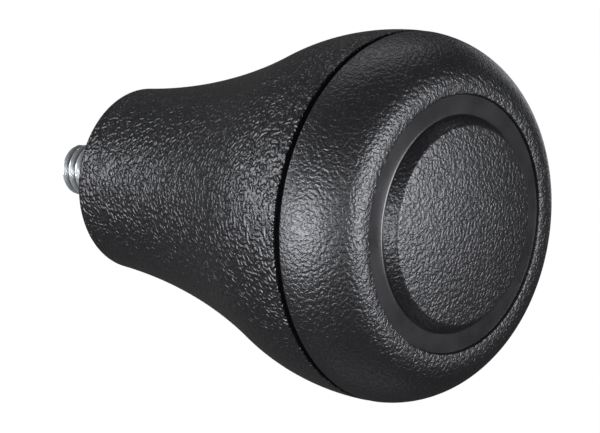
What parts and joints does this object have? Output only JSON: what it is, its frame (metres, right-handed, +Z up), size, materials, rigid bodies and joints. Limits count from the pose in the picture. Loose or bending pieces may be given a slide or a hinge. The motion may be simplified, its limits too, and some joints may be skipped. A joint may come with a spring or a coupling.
{
  "type": "steering wheel spinner knob",
  "caption": "Bell-shaped moulded grip with a snapped-in domed cap, free to spin on a threaded shoulder stud that screws into a steering wheel bracket.",
  "frame": {"origin": "on the stud's axis, in the plane where the underside of the hexagonal collar seats", "axes": "+Z runs up the stud towards the cap; the mounting thread points to -Z; +X crosses a corner of the collar's hexagon"},
  "size_m": [0.055, 0.055, 0.0814],
  "materials": {
    "moulded_black": "leather-grained moulded plastic",
    "plated_steel": "bright zinc plate",
    "bearing_steel": "ground",
    "shield_steel": "pressed sheet",
    "cage_nylon": "natural nylon",
    "nylon": "natural nylon"
  },
  "bodies": {
    "mount_stud": {"stud": "plated_steel", "inner_spacer": "plated_steel", "flat_washer": "plated_steel", "lock_nut": "plated_steel", "nut_insert": "nylon", "lower_inner_ring": "bearing_steel", "upper_inner_ring": "bearing_steel"},
    "knob": {"grip_shell": "moulded_black", "cap": "moulded_black", "lower_outer_ring": "bearing_steel", "upper_outer_ring": "bearing_steel", "lower_bottom_shield": "shield_steel", "lower_top_shield": "shield_steel", "upper_bottom_shield": "shield_steel", "upper_top_shield": "shield_steel"},
    "lower_ball_set": {"lower_cage": "cage_nylon", "lower_balls": "bearing_steel"},
    "upper_ball_set": {"upper_cage": "cage_nylon", "upper_balls": "bearing_steel"}
  },
  "joints": [
    {"name": "knob_spin", "type": "hinge", "parent": "mount_stud", "child": "knob", "pos_m": [0, 0, 0.02], "axis": [0, 0, 1], "continuous": true},
    {"name": "lower_ball_orbit", "type": "hinge", "parent": "mount_stud", "child": "lower_ball_set", "pos_m": [0, 0, 0.00717], "axis": [0, 0, 1], "continuous": true},
    {"name": "upper_ball_orbit", "type": "hinge", "parent": "mount_stud", "child": "upper_ball_set", "pos_m": [0, 0, 0.03371], "axis": [0, 0, 1], "continuous": true}
  ],
  "couplings": [
    {"joint": "lower_ball_orbit", "follows": "knob_spin", "ratio": 0.625},
    {"joint": "upper_ball_orbit", "follows": "knob_spin", "ratio": 0.625}
  ]
}
